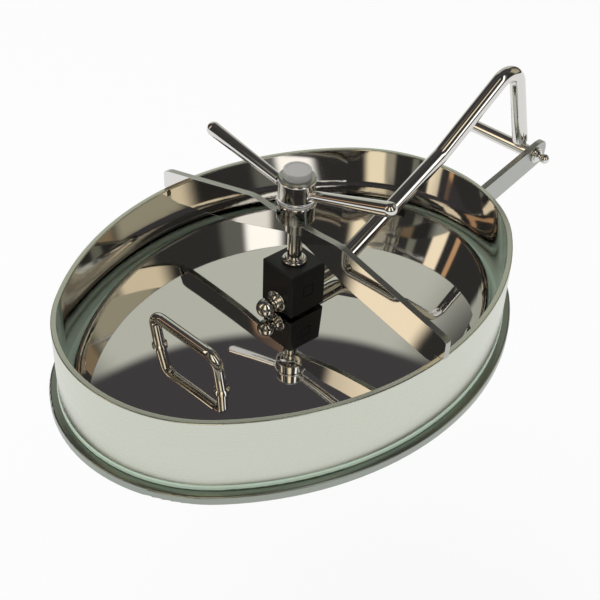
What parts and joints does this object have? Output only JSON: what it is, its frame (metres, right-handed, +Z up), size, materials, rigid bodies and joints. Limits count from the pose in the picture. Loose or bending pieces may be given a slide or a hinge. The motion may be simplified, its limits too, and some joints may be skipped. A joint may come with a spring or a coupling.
{
  "type": "tank manway cover",
  "caption": "Oval inward-opening stainless manway cover: neck ring, gasketed dished lid, bridge, two-rod clamping nut and swing arm on an outside hinge.",
  "frame": {"origin": "centre of the neck ring's lower face, on the spindle's axis", "axes": "+X along the long axis towards the hinge, +Y along the bridge, +Z up, out of the tank"},
  "size_m": [0.5394, 0.3428, 0.1851],
  "materials": {
    "steel_ring": "satin outside, polished inside",
    "steel_satin": "satin",
    "steel_bar": "polished stainless steel",
    "steel_mirror": "mirror polished stainless steel",
    "gasket_rubber": "translucent grey-green silicone",
    "black_plastic": "matt black",
    "white_plastic": "slip ring",
    "grey_plastic": "matt warm grey, ribbed"
  },
  "bodies": {
    "neck": {"neck_ring": "steel_ring", "lug_near": "steel_satin", "lug_far": "steel_satin", "hinge_pin": "steel_bar", "pin_washers": "steel_bar", "pin_nut_near": "steel_bar", "pin_nut_far": "steel_bar"},
    "cover": {"lid": "steel_mirror", "lid_hoop": "steel_satin", "gasket": "gasket_rubber", "lid_handle": "steel_bar", "handle_collars": "steel_bar", "spindle_boss": "steel_bar", "pivot_block": "black_plastic", "spindle": "steel_bar", "collar_nut": "steel_bar", "swing_arm": "steel_bar", "arm_ball_nut": "steel_bar", "hinge_tube": "steel_bar", "hinge_bushes": "black_plastic"},
    "washer": {"thrust_washer": "steel_bar"},
    "bridge": {"bridge_bar": "steel_mirror", "bridge_sleeve": "steel_bar"},
    "slip": {"slip_ring": "white_plastic"},
    "nut": {"nut_hub": "steel_bar", "nut_top_ring": "steel_satin", "nut_cap": "grey_plastic", "handle_rod_near": "steel_bar", "handle_rod_far": "steel_bar"}
  },
  "joints": [
    {"name": "arm_swing", "type": "hinge", "parent": "neck", "child": "cover", "pos_m": [0.294, 0, 0.068], "axis": [0, -1, 0], "range_deg": [0, 50]},
    {"name": "bridge_lift", "type": "slide", "parent": "cover", "child": "washer", "axis": [0, 0, 1], "range_m": [0, 0.4]},
    {"name": "bridge_turn", "type": "hinge", "parent": "washer", "child": "bridge", "pos_m": [0, 0, 0.11], "axis": [0, 0, 1], "range_deg": [-60, 60]},
    {"name": "nut_rise", "type": "slide", "parent": "washer", "child": "slip", "axis": [0, 0, 1], "range_m": [0, 0.0121]},
    {"name": "nut_turn", "type": "hinge", "parent": "slip", "child": "nut", "pos_m": [0, 0, 0.14], "axis": [0, 0, 1], "range_deg": [0, 1440]}
  ],
  "couplings": [
    {"joint": "bridge_lift", "follows": "arm_swing", "m_per_rad": 0.45},
    {"joint": "nut_rise", "follows": "nut_turn", "m_per_rad": 0.00047746}
  ]
}
